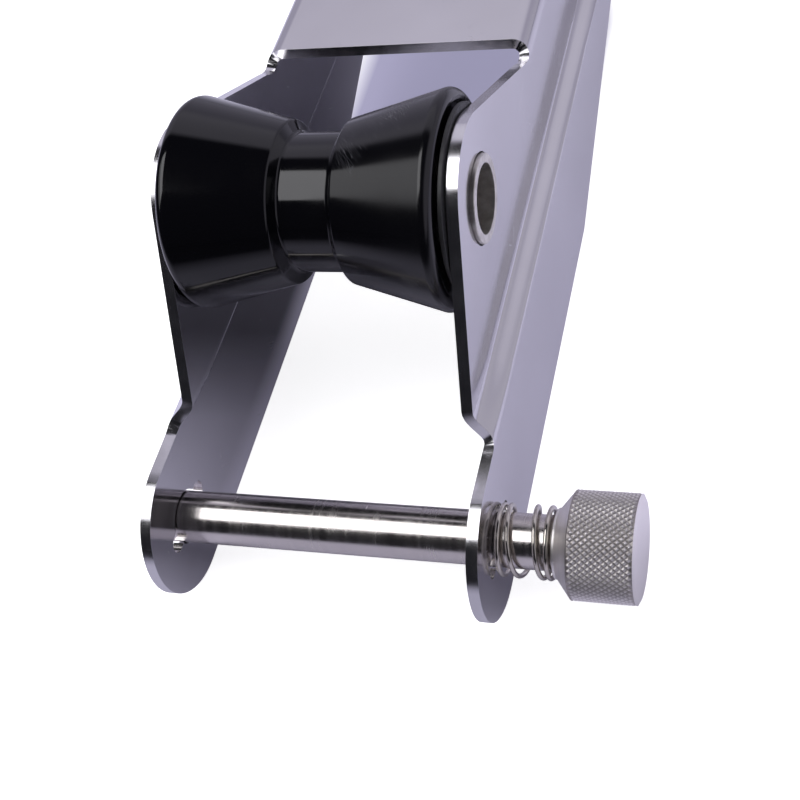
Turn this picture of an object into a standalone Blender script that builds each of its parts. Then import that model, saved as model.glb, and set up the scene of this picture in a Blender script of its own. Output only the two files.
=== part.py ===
"""Stainless steel bow roller with a spring-loaded retaining pin.

Metres, +Z up. The channel lies mouth down, as it would on a bench: the web with its deck face is on top
and the cheeks stand on their free edges. X runs along the roller's axle, -Y is forward, towards the bow.
The origin is the middle of the deck face, on the outer side of the web.
"""
import math

import bmesh
import bpy
from mathutils import Vector

MM = 0.001

# Fits
GAP = 0.3 * MM                  # between neighbouring pieces that rest on or hold each other
PIN_CLEARANCE = 0.4 * MM        # round the retaining pin and the cross pin in the ears, on each side
ROLLER_CLEARANCE = 0.9 * MM     # round the axle tube in the roller's bore, on the radius
ROLLER_END_FLOAT = 1.7 * MM     # of the roller between its washers
SPRING_CLEARANCE = 0.95 * MM    # round the retaining pin in the spring, on the radius
KEY_SLOT_MARGIN = 0.6 * MM      # key slot beyond the cross pin's end

# Channel: one folded sheet
SHEET = 2.5 * MM
CHANNEL_WIDTH = 67.8 * MM       # over the cheeks at the web
WEB_LENGTH = 152.0 * MM
WEB_BEND_RADIUS = 4.6 * MM      # on the outer side
WEB_BEND_RUNOUT = 7.0 * MM      # in front of the web, over which the bend dies out into the cheek
WEB_SETBACK = 56.3 * MM         # web's front edge behind the axle
CHANNEL_DEPTH = 66.5 * MM       # deck face to the cheeks' free edges
TAPER_START = 60.0 * MM         # behind the axle, where the free edges start to rise
TAPER_ANGLE = math.radians(16.9)
REAR_CORNER_RADIUS = 5.0 * MM
SLOT_CORNER_RADIUS = 3.5 * MM
EDGE_ROUND = 0.45 * MM

# Nose of each cheek, round the roller
NOSE_HEIGHT = 26.5 * MM         # sharp corner of the nose over the deck face
NOSE_REACH = 7.0 * MM           # the same corner, forward of the axle
NOSE_RISE = math.radians(26.8)  # slope of the edge from the web up to the nose
NOSE_FALL = math.radians(60.7)  # slope of the edge from the nose down to the ear
NOSE_RADIUS = 17.0 * MM
NOTCH_RADIUS = 4.0 * MM

# Joggle that steps the lower part of each cheek outward
JOGGLE = 4.5 * MM
JOGGLE_OVER_EARS = 4.3 * MM     # upper fold line over the top of the ears
JOGGLE_RUN = 4.6 * MM           # upper fold line to lower fold line, at the ears
JOGGLE_NARROWING = math.radians(0.8)
JOGGLE_FLARE = 2.2 * MM         # rise of the upper fold line at the notch, where the step runs out softly
JOGGLE_FLARE_LENGTH = 22.0 * MM

# Ears and retaining pin
EAR_RADIUS = 17.9 * MM
EAR_REACH = 51.5 * MM           # ear's centre forward of the axle
PIN_DIAMETER = 12.0 * MM
PIN_CHAMFER = 1.0 * MM
CROSS_PIN_DIAMETER = 4.0 * MM
CROSS_PIN_LENGTH = 18.0 * MM
CROSS_PIN_CHAMFER = 0.6 * MM
PIN_TIP_MARGIN = 2.2 * MM       # pin beyond the cross pin

# Axle tube, roller and side washers
AXLE_RISE = 2.2 * MM            # axle's axis over the deck face
AXLE_DIAMETER = 19.05 * MM
AXLE_WALL = 2.1 * MM
AXLE_PROTRUSION = 0.95 * MM
AXLE_CHAMFER = 0.35 * MM
WASHER_THICKNESS = 1.0 * MM
WASHER_RADIUS = 20.1 * MM
ROLLER_CREST_RADIUS = 24.0 * MM # sharp corner of the rim
ROLLER_CREST_INSET = 0.85 * MM  # the same corner, in from the roller's end
ROLLER_RIM_ROUND = 2.0 * MM
ROLLER_RECESS = 1.3 * MM        # depth of the recess in each end that takes a washer
ROLLER_LIP = 0.9 * MM           # flat of the end, round the recess
ROLLER_WAIST_RADIUS = 15.2 * MM
ROLLER_WAIST_LENGTH = 11.2 * MM
ROLLER_STEP_RADIUS = 17.9 * MM  # small end of each cone
ROLLER_STEP_LENGTH = 1.5 * MM   # from the waist up to the cone
ROLLER_STEP_ROUND = 0.8 * MM
ROLLER_BORE_CHAMFER = 1.0 * MM

# Spring and knob
SPRING_WIRE = 1.1 * MM
SPRING_SPANS = (                # turns and advance of each span, from the ear's closed end to the knob's
    (1.0, 1.25 * MM), (0.35, 1.4 * MM), (0.75, 4.75 * MM), (0.5, 2.05 * MM), (0.5, 1.15 * MM), (0.6, 0.5 * MM))
KNOB_RADIUS = 11.8 * MM
KNOB_LENGTH = 17.9 * MM
KNOB_NECK_RADIUS = 7.6 * MM
KNOB_NECK_LENGTH = 0.5 * MM
KNOB_CONE_LENGTH = 3.3 * MM
KNOB_CHAMFER = 0.6 * MM
SPIGOT_DIAMETER = 8.0 * MM
SPIGOT_LENGTH = 11.0 * MM

# Deck bolt holes in the web
BOLT_HOLE_DIAMETER = 8.5 * MM
BOLT_SPACING_X = 30.0 * MM
BOLT_SPACING_Y = 90.0 * MM

# Facets and modelling
TURN_STEPS = 48
SMALL_TURN_STEPS = 32
BOLT_HOLE_STEPS = 24
KEYED_HOLE_STEPS = 10
EAR_STEPS = 20
NOSE_STEPS = 10
CORNER_STEPS = 6
STEP_ROUND_STEPS = 3
COIL_STEPS = 18
BEND_STEPS = 6
RUNOUT_STEPS = 3
JOGGLE_STEPS = 6
FLARE_STEPS = 4
WIRE_RESOLUTION = 2
EDGE_ANGLE = math.radians(60)   # edges sharper than this are rounded
SMOOTH_ANGLE = math.radians(35)
CUTTER_MARGIN = 3.0 * MM        # cutter beyond what it cuts
MERGE = 0.01 * MM

# Places that follow from the sizes
HALF_WIDTH = CHANNEL_WIDTH / 2
AXLE_Y = -(WEB_LENGTH / 2 + WEB_SETBACK)
WEB_FRONT_Y = -WEB_LENGTH / 2
BEND_FRONT_Y = WEB_FRONT_Y - WEB_BEND_RUNOUT
BEND_END_Z = -WEB_BEND_RADIUS
BEND_ARC = WEB_BEND_RADIUS * math.pi / 2
CENTRE_V = BEND_ARC + HALF_WIDTH - WEB_BEND_RADIUS
EAR_FACE_X = HALF_WIDTH + JOGGLE
EAR_Y = AXLE_Y - EAR_REACH
EAR_Z = EAR_RADIUS - CHANNEL_DEPTH
JOGGLE_HEAD_Z = EAR_Z + EAR_RADIUS + JOGGLE_OVER_EARS
JOGGLE_FOOT_Z = JOGGLE_HEAD_Z - JOGGLE_RUN
NOTCH_Y = AXLE_Y - NOSE_REACH - (NOSE_HEIGHT - EAR_Z - EAR_RADIUS) / math.tan(NOSE_FALL)
FLARE_Y = NOTCH_Y + JOGGLE_FLARE_LENGTH
KEY_SLOT_WIDTH = CROSS_PIN_DIAMETER + 2 * PIN_CLEARANCE
KEY_SLOT_REACH = CROSS_PIN_LENGTH / 2 + KEY_SLOT_MARGIN
CROSS_PIN_X = -(EAR_FACE_X + GAP + CROSS_PIN_DIAMETER / 2)
PIN_TIP_X = CROSS_PIN_X - CROSS_PIN_DIAMETER / 2 - PIN_TIP_MARGIN
SPRING_RADIUS = PIN_DIAMETER / 2 + SPRING_CLEARANCE + SPRING_WIRE / 2
SPRING_START_X = EAR_FACE_X + GAP + SPRING_WIRE / 2
SPRING_END_X = SPRING_START_X + sum(advance for _, advance in SPRING_SPANS)
KNOB_X = SPRING_END_X + SPRING_WIRE / 2 + GAP
WASHER_FACE_X = HALF_WIDTH - SHEET - GAP - WASHER_THICKNESS
ROLLER_LENGTH = 2 * (WASHER_FACE_X - GAP + ROLLER_RECESS) - ROLLER_END_FLOAT
RECESS_RADIUS = WASHER_RADIUS + ROLLER_CLEARANCE
ROLLER_X = -ROLLER_END_FLOAT / 2                # pushed against its left washer
ROLLER_Z = AXLE_RISE - ROLLER_CLEARANCE + GAP   # its bore rests on top of the tube


def clear_scene():
    for item in list(bpy.data.objects):
        bpy.data.objects.remove(item, do_unlink=True)


def new_collection(name):
    group = bpy.data.collections.new(name)
    bpy.context.scene.collection.children.link(group)
    return group


def new_material(name, colour, roughness, metallic):
    material = bpy.data.materials.new(name)
    material.use_nodes = True
    shader = material.node_tree.nodes["Principled BSDF"]
    shader.inputs["Base Color"].default_value = (*colour, 1.0)
    shader.inputs["Roughness"].default_value = roughness
    shader.inputs["Metallic"].default_value = metallic
    return material


def add_object(name, data, group, material=None):
    item = bpy.data.objects.new(name, data)
    group.objects.link(item)
    if material:
        data.materials.append(material)
    return item


def add_axis(name, location, group):
    """Empty on a moving group's axis, which the group's pieces are parented to."""
    empty = bpy.data.objects.new(name, None)
    empty.location = location
    group.objects.link(empty)
    return empty


def shade_round(mesh):
    mesh.shade_smooth()
    mesh.set_sharp_from_angle(angle=SMOOTH_ANGLE)


def add_bevel(item, width):
    bevel = item.modifiers.new("rounded edges", "BEVEL")
    bevel.width = width
    bevel.segments = 1
    bevel.limit_method = "ANGLE"
    bevel.angle_limit = EDGE_ANGLE


def cut(item, cutter):
    boolean = item.modifiers.new("cut " + cutter.name, "BOOLEAN")
    boolean.operation = "DIFFERENCE"
    boolean.solver = "EXACT"
    boolean.object = cutter


def arc(centre, radius, start, end, steps):
    """Points along an arc, angles in radians, both ends included."""
    points = []
    for step in range(steps + 1):
        angle = start + (end - start) * step / steps
        points.append((centre[0] + radius * math.cos(angle), centre[1] + radius * math.sin(angle)))
    return points


def fillet(before, corner, after, radius, steps=CORNER_STEPS):
    """Arc that rounds the corner between the lines to its neighbours."""
    corner = Vector(corner)
    one = (Vector(before) - corner).normalized()
    two = (Vector(after) - corner).normalized()
    half = one.angle(two) / 2
    centre = corner + (one + two).normalized() * (radius / math.sin(half))
    start = corner + one * (radius / math.tan(half)) - centre
    end = corner + two * (radius / math.tan(half)) - centre
    first = math.atan2(start.y, start.x)
    turn = math.atan2(start.x * end.y - start.y * end.x, start.dot(end))
    return arc(centre, radius, first, first + turn, steps)


def turned(name, profile, group, material, closed=False, steps=TURN_STEPS):
    """Profile of (radius, height) points, top to bottom on the outer side, turned about local Z."""
    mesh = bpy.data.meshes.new(name)
    edges = [(i, i + 1) for i in range(len(profile) - 1)]
    if closed:
        edges.append((len(profile) - 1, 0))
    mesh.from_pydata([(radius, 0, height) for radius, height in profile], edges, [])
    item = add_object(name, mesh, group, material)
    screw = item.modifiers.new("turned", "SCREW")
    screw.axis = "Z"
    screw.angle = math.tau
    screw.steps = steps
    screw.render_steps = steps
    screw.use_merge_vertices = True
    screw.merge_threshold = MERGE
    screw.use_smooth_shade = True
    return item


def lay_along_x(item, parent, offset=0.0):
    """Turn a piece's local Z to +X and hang it on its axis empty."""
    item.rotation_euler = (0, math.pi / 2, 0)
    item.location = (offset, 0, 0)
    item.parent = parent


def upright_cutter(name, radius, depth, location, group):
    bpy.ops.mesh.primitive_cylinder_add(vertices=SMALL_TURN_STEPS, radius=radius, depth=depth,
                                        location=location)
    cutter = bpy.context.object
    cutter.name = name
    for owner in cutter.users_collection:
        owner.objects.unlink(cutter)
    group.objects.link(cutter)
    cutter.hide_render = True
    cutter.display_type = "WIRE"
    return cutter


def nose_line_v(y):
    """Height of the cheek's rising edge at y, as a blank coordinate."""
    corner_y = AXLE_Y - NOSE_REACH
    return NOSE_HEIGHT - math.tan(NOSE_RISE) * (y - corner_y) - BEND_END_Z


def half_blank_outline():
    """Outer line of half the blank. u is world Y; v is 0 at the web bend's lower end and grows to the web."""
    rear_y = WEB_LENGTH / 2
    rear_low_v = (rear_y - AXLE_Y - TAPER_START) * math.tan(TAPER_ANGLE) - CHANNEL_DEPTH - BEND_END_Z
    kink = (AXLE_Y + TAPER_START, -CHANNEL_DEPTH - BEND_END_Z)
    rear_low = (rear_y, rear_low_v)
    web_rear = (rear_y, CENTRE_V)
    web_front = (WEB_FRONT_Y, CENTRE_V)
    slot_corner = (WEB_FRONT_Y, nose_line_v(WEB_FRONT_Y))
    nose = (AXLE_Y - NOSE_REACH, NOSE_HEIGHT - BEND_END_Z)
    ear_top_v = EAR_Z + EAR_RADIUS - BEND_END_Z
    notch = (NOTCH_Y, ear_top_v)
    ear_centre = (EAR_Y, EAR_Z - BEND_END_Z)
    ear_top = (EAR_Y, ear_top_v)
    points = [web_rear, web_front]
    points += fillet(web_front, slot_corner, nose, SLOT_CORNER_RADIUS)
    points += fillet(slot_corner, nose, notch, NOSE_RADIUS, NOSE_STEPS)
    points += fillet(nose, notch, ear_top, NOTCH_RADIUS)
    points += arc(ear_centre, EAR_RADIUS, math.pi / 2, math.pi * 3 / 2, EAR_STEPS)
    points.append(kink)
    points += fillet(kink, rear_low, web_rear, REAR_CORNER_RADIUS)
    return points


def pin_hole_outline():
    """Round hole for the pin with a key slot on each side of it."""
    radius = PIN_DIAMETER / 2 + PIN_CLEARANCE
    half_slot = KEY_SLOT_WIDTH / 2
    centre_v = EAR_Z - BEND_END_Z
    opening = math.asin(half_slot / radius)
    front_end = (EAR_Y - KEY_SLOT_REACH + half_slot, centre_v)
    rear_end = (EAR_Y + KEY_SLOT_REACH - half_slot, centre_v)
    points = arc((EAR_Y, centre_v), radius, opening, math.pi - opening, KEYED_HOLE_STEPS)
    points += arc(front_end, half_slot, math.pi / 2, math.pi * 3 / 2, CORNER_STEPS)
    points += arc((EAR_Y, centre_v), radius, math.pi + opening, math.tau - opening, KEYED_HOLE_STEPS)
    points += arc(rear_end, half_slot, -math.pi / 2, math.pi / 2, CORNER_STEPS)
    return points


def half_blank_holes():
    """Axle hole, pin hole and the two bolt holes of one half of the blank."""
    axle_radius = AXLE_DIAMETER / 2 + GAP
    holes = [arc((AXLE_Y, AXLE_RISE - BEND_END_Z), axle_radius, 0, math.tau, TURN_STEPS)[:-1]]
    holes.append(pin_hole_outline())
    for side in (-1, 1):
        centre = (side * BOLT_SPACING_Y / 2, CENTRE_V - BOLT_SPACING_X / 2)
        holes.append(arc(centre, BOLT_HOLE_DIAMETER / 2, 0, math.tau, BOLT_HOLE_STEPS)[:-1])
    return holes


def flat_sheet(outlines):
    """Flat mesh inside the first outline and outside the others."""
    curve = bpy.data.curves.new("blank", "CURVE")
    curve.dimensions = "2D"
    curve.fill_mode = "BOTH"
    for outline in outlines:
        spline = curve.splines.new("POLY")
        spline.points.add(len(outline) - 1)
        spline.use_cyclic_u = True
        for point, (u, v) in zip(spline.points, outline):
            point.co = (u, v, 0, 1)
    guide = bpy.data.objects.new("blank", curve)
    bpy.context.scene.collection.objects.link(guide)
    mesh = bpy.data.meshes.new_from_object(guide.evaluated_get(bpy.context.evaluated_depsgraph_get()))
    bpy.data.objects.remove(guide)
    bpy.data.curves.remove(curve)
    return mesh


def joggle_v(u, share):
    """Blank coordinate of the joggle's fold line, 0 for the upper and 1 for the lower one."""
    head = JOGGLE_HEAD_Z - math.tan(JOGGLE_NARROWING) * (u - EAR_Y)
    flare = min(max((FLARE_Y - u) / JOGGLE_FLARE_LENGTH, 0.0), 1.0)
    head += JOGGLE_FLARE * flare * flare
    return head * (1 - share) + JOGGLE_FOOT_Z * share - BEND_END_Z


def folded(u, v):
    """World place of a blank point on the sheet's outer side, for the right-hand cheek."""
    x, y, z = HALF_WIDTH, u, BEND_END_Z + v
    if v > 0 and u > BEND_FRONT_Y:
        turn = min(v / BEND_ARC, 1.0) * math.pi / 2
        x_bent = HALF_WIDTH - WEB_BEND_RADIUS * (1 - math.cos(turn)) - max(v - BEND_ARC, 0.0)
        z_bent = BEND_END_Z + WEB_BEND_RADIUS * math.sin(turn)
        share = min((u - BEND_FRONT_Y) / WEB_BEND_RUNOUT, 1.0)
        x += (x_bent - x) * share
        z += (z_bent - z) * share
    head_v = joggle_v(u, 0)
    step = min(max((head_v - v) / (head_v - joggle_v(u, 1)), 0.0), 1.0)
    x += JOGGLE * step * step * (3 - 2 * step)
    return x, y, z


def make_channel(group, material):
    """Half the blank, scored along its fold lines, folded, mirrored and given its thickness."""
    mesh = flat_sheet([half_blank_outline()] + half_blank_holes())
    mesh.name = "channel"
    work = bmesh.new()
    work.from_mesh(mesh)
    bmesh.ops.remove_doubles(work, verts=work.verts, dist=MERGE)

    def score(point, direction, front=math.inf):
        normal = Vector((-direction[1], direction[0], 0))
        faces = [face for face in work.faces if max(vert.co.x for vert in face.verts) < front + MERGE]
        edges = {edge for face in faces for edge in face.edges}
        verts = {vert for face in faces for vert in face.verts}
        bmesh.ops.bisect_plane(work, geom=[*verts, *edges, *faces], plane_co=(*point, 0), plane_no=normal,
                               dist=MERGE)

    for step in range(BEND_STEPS + 1):
        score((0, BEND_ARC * step / BEND_STEPS), (1, 0))
    for step in range(RUNOUT_STEPS + 1):
        score((BEND_FRONT_Y + WEB_BEND_RUNOUT * step / RUNOUT_STEPS, 0), (0, 1))
    for step in range(JOGGLE_STEPS + 1):
        front = joggle_v(FLARE_Y, step / JOGGLE_STEPS)
        rear = joggle_v(AXLE_Y, step / JOGGLE_STEPS)
        score((FLARE_Y, front), (AXLE_Y - FLARE_Y, rear - front))
    for step in range(FLARE_STEPS):
        score((FLARE_Y - JOGGLE_FLARE_LENGTH * step / FLARE_STEPS, 0), (0, 1))
    for step in range(2, FLARE_STEPS + 1):
        rise = joggle_v(NOTCH_Y, 0) - joggle_v(FLARE_Y, 0)
        score((FLARE_Y, joggle_v(FLARE_Y, 0)), (-JOGGLE_FLARE_LENGTH, rise * step / FLARE_STEPS), FLARE_Y)
    for vert in work.verts:
        vert.co = folded(vert.co.x, vert.co.y)
    bmesh.ops.recalc_face_normals(work, faces=work.faces)
    top = max(work.faces, key=lambda face: face.normal.z * face.normal.z * face.calc_area())
    if top.normal.z < 0:
        bmesh.ops.reverse_faces(work, faces=work.faces)
    work.to_mesh(mesh)
    work.free()
    channel = add_object("channel", mesh, group, material)
    mirror = channel.modifiers.new("other half", "MIRROR")
    mirror.use_axis = (True, False, False)
    mirror.merge_threshold = MERGE
    solidify = channel.modifiers.new("sheet", "SOLIDIFY")
    solidify.thickness = SHEET
    solidify.offset = -1
    solidify.use_even_offset = True
    add_bevel(channel, EDGE_ROUND)
    shade_round(mesh)
    return channel


def make_axle_tube(group, material, axle_axis):
    half = HALF_WIDTH + AXLE_PROTRUSION
    outer = AXLE_DIAMETER / 2
    inner = outer - AXLE_WALL
    profile = [(outer - AXLE_CHAMFER, half), (outer, half - AXLE_CHAMFER)]
    profile += [(outer, AXLE_CHAMFER - half), (outer - AXLE_CHAMFER, -half)]
    profile += [(inner + AXLE_CHAMFER, -half), (inner, AXLE_CHAMFER - half)]
    profile += [(inner, half - AXLE_CHAMFER), (inner + AXLE_CHAMFER, half)]
    tube = turned("axle_tube", profile, group, material, closed=True)
    lay_along_x(tube, axle_axis)


def make_side_washers(group, material, axle_axis):
    inner = AXLE_DIAMETER / 2 + GAP
    half = WASHER_THICKNESS / 2
    profile = [(inner, half), (WASHER_RADIUS, half), (WASHER_RADIUS, -half), (inner, -half)]
    place = WASHER_FACE_X + half
    for name, side in (("side_washer_left", -1), ("side_washer_right", 1)):
        washer = turned(name, profile, group, material, closed=True)
        lay_along_x(washer, axle_axis, side * place)


def roller_half_profile():
    """Outer line from the middle of the waist to the flat of the end, as (distance from the middle, radius)."""
    half = ROLLER_LENGTH / 2
    waist = ROLLER_WAIST_LENGTH / 2
    middle = (0.0, ROLLER_WAIST_RADIUS)
    foot = (waist, ROLLER_WAIST_RADIUS)
    shoulder = (waist + ROLLER_STEP_LENGTH, ROLLER_STEP_RADIUS)
    crest = (half - ROLLER_CREST_INSET, ROLLER_CREST_RADIUS)
    end = (half, RECESS_RADIUS + ROLLER_LIP)
    line = [middle]
    line += fillet(middle, foot, shoulder, ROLLER_STEP_ROUND, STEP_ROUND_STEPS)
    line += fillet(foot, shoulder, crest, ROLLER_STEP_ROUND, STEP_ROUND_STEPS)
    line += fillet(shoulder, crest, end, ROLLER_RIM_ROUND)
    line.append(end)
    return line


def make_roller(group, material, roller_axis):
    half_line = roller_half_profile()
    right = [(radius, distance) for distance, radius in reversed(half_line)]
    left = [(radius, -distance) for distance, radius in half_line[1:]]
    bore = AXLE_DIAMETER / 2 + ROLLER_CLEARANCE
    mouth = bore + ROLLER_BORE_CHAMFER
    half = ROLLER_LENGTH / 2
    floor = half - ROLLER_RECESS
    inside = [(RECESS_RADIUS, -half), (RECESS_RADIUS, -floor), (mouth, -floor)]
    inside += [(bore, ROLLER_BORE_CHAMFER - floor), (bore, floor - ROLLER_BORE_CHAMFER)]
    inside += [(mouth, floor), (RECESS_RADIUS, floor), (RECESS_RADIUS, half)]
    roller = turned("roller", right + left + inside, group, material, closed=True)
    lay_along_x(roller, roller_axis)


def make_retaining_pin(group, material, pin_axis, cutters):
    radius = PIN_DIAMETER / 2
    shoulder = KNOB_X - GAP
    spigot = SPIGOT_DIAMETER / 2
    profile = [(0, shoulder + SPIGOT_LENGTH), (spigot, shoulder + SPIGOT_LENGTH), (spigot, shoulder)]
    profile += [(radius, shoulder), (radius, PIN_TIP_X + PIN_CHAMFER)]
    profile += [(radius - PIN_CHAMFER, PIN_TIP_X), (0, PIN_TIP_X)]
    pin = turned("retaining_pin", profile, group, material, steps=SMALL_TURN_STEPS)
    lay_along_x(pin, pin_axis)
    hole = CROSS_PIN_DIAMETER / 2 + GAP
    depth = PIN_DIAMETER + 2 * CUTTER_MARGIN
    cut(pin, upright_cutter("cross_pin_hole", hole, depth, (CROSS_PIN_X, EAR_Y, EAR_Z), cutters))


def make_cross_pin(group, material, pin_axis):
    radius = CROSS_PIN_DIAMETER / 2
    half = CROSS_PIN_LENGTH / 2
    profile = [(0, half), (radius - CROSS_PIN_CHAMFER, half), (radius, half - CROSS_PIN_CHAMFER)]
    profile += [(radius, CROSS_PIN_CHAMFER - half), (radius - CROSS_PIN_CHAMFER, -half), (0, -half)]
    cross = turned("cross_pin", profile, group, material, steps=SMALL_TURN_STEPS)
    cross.location = (CROSS_PIN_X, 0, 0)
    cross.parent = pin_axis


def make_knob(group, material, pin_axis):
    bore = SPIGOT_DIAMETER / 2 + GAP
    bore_end = KNOB_X + SPIGOT_LENGTH
    end = KNOB_X + KNOB_LENGTH
    neck_end = KNOB_X + KNOB_NECK_LENGTH
    profile = [(0, end), (KNOB_RADIUS - KNOB_CHAMFER, end), (KNOB_RADIUS, end - KNOB_CHAMFER)]
    profile += [(KNOB_RADIUS, neck_end + KNOB_CONE_LENGTH), (KNOB_NECK_RADIUS, neck_end)]
    profile += [(KNOB_NECK_RADIUS, KNOB_X), (bore, KNOB_X), (bore, bore_end), (0, bore_end)]
    knob = turned("knob", profile, group, material)
    lay_along_x(knob, pin_axis)


def spring_reach(turned_by):
    """Place of the wire along the pin after this many turns."""
    reach = SPRING_START_X
    for turns, advance in SPRING_SPANS:
        share = min(turned_by / turns, 1.0)
        reach += advance * share
        turned_by -= turns * share
    return reach


def make_spring(group, material, pin_axis):
    """Coil from the right ear to the knob; its end turns lie close and its middle turn is open."""
    steps = round(COIL_STEPS * sum(turns for turns, _ in SPRING_SPANS))
    points = []
    for step in range(steps + 1):
        angle = math.tau * step / COIL_STEPS
        points.append((spring_reach(step / COIL_STEPS), SPRING_RADIUS * math.cos(angle),
                       SPRING_RADIUS * math.sin(angle)))
    curve = bpy.data.curves.new("spring", "CURVE")
    curve.dimensions = "3D"
    curve.bevel_depth = SPRING_WIRE / 2
    curve.bevel_resolution = WIRE_RESOLUTION
    curve.use_fill_caps = True
    spline = curve.splines.new("POLY")
    spline.points.add(len(points) - 1)
    for point, place in zip(spline.points, points):
        point.co = (*place, 1)
    spring = add_object("spring", curve, group, material)
    spring.parent = pin_axis


def build():
    clear_scene()
    parts = new_collection("bow_roller")
    cutters = new_collection("cutters")
    polished = new_material("polished_stainless", (0.62, 0.60, 0.66), 0.18, 1.0)
    tube_steel = new_material("tube_stainless", (0.55, 0.54, 0.50), 0.3, 1.0)
    pin_steel = new_material("pin_stainless", (0.64, 0.61, 0.58), 0.15, 1.0)
    turned_steel = new_material("turned_stainless", (0.58, 0.55, 0.52), 0.38, 1.0)
    spring_steel = new_material("spring_wire", (0.45, 0.42, 0.38), 0.3, 1.0)
    black_rubber = new_material("black_roller", (0.012, 0.012, 0.016), 0.22, 0.0)
    washer_plastic = new_material("black_nylon", (0.02, 0.02, 0.022), 0.45, 0.0)

    axle_axis = add_axis("axle_axis", (0, AXLE_Y, AXLE_RISE), parts)
    roller_axis = add_axis("roller_axis", (ROLLER_X, AXLE_Y, ROLLER_Z), parts)
    pin_axis = add_axis("pin_axis", (0, EAR_Y, EAR_Z), parts)

    make_channel(parts, polished)
    make_axle_tube(parts, tube_steel, axle_axis)
    make_side_washers(parts, washer_plastic, axle_axis)
    make_roller(parts, black_rubber, roller_axis)
    make_retaining_pin(parts, pin_steel, pin_axis, cutters)
    make_cross_pin(parts, pin_steel, pin_axis)
    make_knob(parts, turned_steel, pin_axis)
    make_spring(parts, spring_steel, pin_axis)


build()
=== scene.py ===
"""Bow roller: folded steel channel, black hourglass roller, spring-loaded retaining pin with a knob.

X runs along the roller's axle towards the knob, -Y is forward, +Z is up. Lengths are in metres, but the
sizes of the turned pieces, the knob and the spring are in millimetres.
"""

import math

import bmesh
import bpy
from mathutils import Matrix, Vector


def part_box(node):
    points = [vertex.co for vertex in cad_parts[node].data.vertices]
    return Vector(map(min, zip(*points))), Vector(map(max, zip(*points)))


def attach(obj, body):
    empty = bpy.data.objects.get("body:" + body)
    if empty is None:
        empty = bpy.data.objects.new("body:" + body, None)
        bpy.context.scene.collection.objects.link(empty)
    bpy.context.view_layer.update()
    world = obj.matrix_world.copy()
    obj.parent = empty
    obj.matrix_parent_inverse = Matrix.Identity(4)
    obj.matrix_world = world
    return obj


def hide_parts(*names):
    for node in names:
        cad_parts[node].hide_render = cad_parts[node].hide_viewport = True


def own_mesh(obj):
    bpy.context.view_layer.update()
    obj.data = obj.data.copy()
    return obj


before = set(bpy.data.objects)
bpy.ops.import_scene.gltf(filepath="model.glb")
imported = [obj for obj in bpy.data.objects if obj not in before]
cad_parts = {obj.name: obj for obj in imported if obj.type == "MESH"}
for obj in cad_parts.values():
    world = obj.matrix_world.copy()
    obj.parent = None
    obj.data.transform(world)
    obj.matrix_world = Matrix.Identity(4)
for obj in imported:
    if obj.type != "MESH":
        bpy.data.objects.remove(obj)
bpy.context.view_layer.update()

MM = 0.001
TOUCHING = 0.001 * MM           # points nearer than this are one point

# Channel sheet, as in the solids
SHEET = 2.5 * MM
HALF_WIDTH = 33.9 * MM
WEB_HALF_LENGTH = 76.0 * MM
BEND_RADIUS = 4.6 * MM
BEND_RUNOUT = 7.0 * MM
CHANNEL_DEPTH = 66.5 * MM
AXLE_Y = -132.3 * MM
AXLE_Z = 2.2 * MM
TAPER_START = 60.0 * MM
TAPER_ANGLE = math.radians(16.9)
NOSE_CORNER = (AXLE_Y - 7.0 * MM, 26.5 * MM)
NOSE_RISE = math.radians(26.8)
NOSE_FALL = math.radians(60.7)
EAR_RADIUS = 17.9 * MM
EAR_Y = AXLE_Y - 51.5 * MM
EAR_Z = EAR_RADIUS - CHANNEL_DEPTH
NOTCH_Y = NOSE_CORNER[0] - (NOSE_CORNER[1] - EAR_Z - EAR_RADIUS) / math.tan(NOSE_FALL)
JOGGLE = 4.5 * MM
JOGGLE_HEAD_Z = EAR_Z + EAR_RADIUS + 4.3 * MM
JOGGLE_RUN = 4.6 * MM
JOGGLE_FOOT_Z = JOGGLE_HEAD_Z - JOGGLE_RUN
JOGGLE_NARROWING = math.radians(0.8)
FLARE = 2.2 * MM                # rise of the joggle's upper fold line at the notch
FLARE_LENGTH = 22.0 * MM
FLARE_Y = NOTCH_Y + FLARE_LENGTH
EDGE_ROUND = 0.55 * MM
EDGE_STEPS = 4

# Rounding of the sheet's outline, in millimetres
SLOT_ROUND = 3.5
NOSE_ROUND = 17.0
NOTCH_ROUND = 4.0
REAR_ROUND = 5.0
ROUND_STEPS = 14
EAR_STEPS = 40

# Holes in the sheet
AXLE_HOLE_RADIUS = 9.825 * MM
PIN_HOLE_RADIUS = 6.4 * MM
KEY_SLOT_WIDTH = 4.8 * MM
KEY_SLOT_LENGTH = 19.2 * MM     # over both slots, one on each side of the pin hole
KEY_SLOT_ROUND = 2.39 * MM
BOLT_HOLE_RADIUS = 4.25 * MM
BOLT_X = 15.0 * MM
BOLT_Y = 45.0 * MM

# The fold on the flat blank
BEND_ARC = BEND_RADIUS * math.pi / 2
FOLD_AT = HALF_WIDTH - BEND_RADIUS + BEND_ARC       # from the blank's middle to the bend's lower end
BEND_FRONT = -WEB_HALF_LENGTH - BEND_RUNOUT

# Flat steps that the folded sheet is made of
BEND_STEPS = 12                 # round the bend
JOGGLE_STEPS = 10               # down the joggle
STEPS_ABOVE_JOGGLE = 5          # of the same size, over which its upper fold line flares
RUNOUT_STEPS = 6                # along the bend's run-out
FLARE_STEPS = 11                # along the flare
CHEEK_STEPS = 7                 # along the cheek between the flare and the run-out
WEB_STEPS = 14                  # along the web


def blank_place(height):
    """How far from the middle of the blank a point lies that the fold puts at this height."""
    return FOLD_AT - BEND_RADIUS - height


# Making a shape by hand

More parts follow.
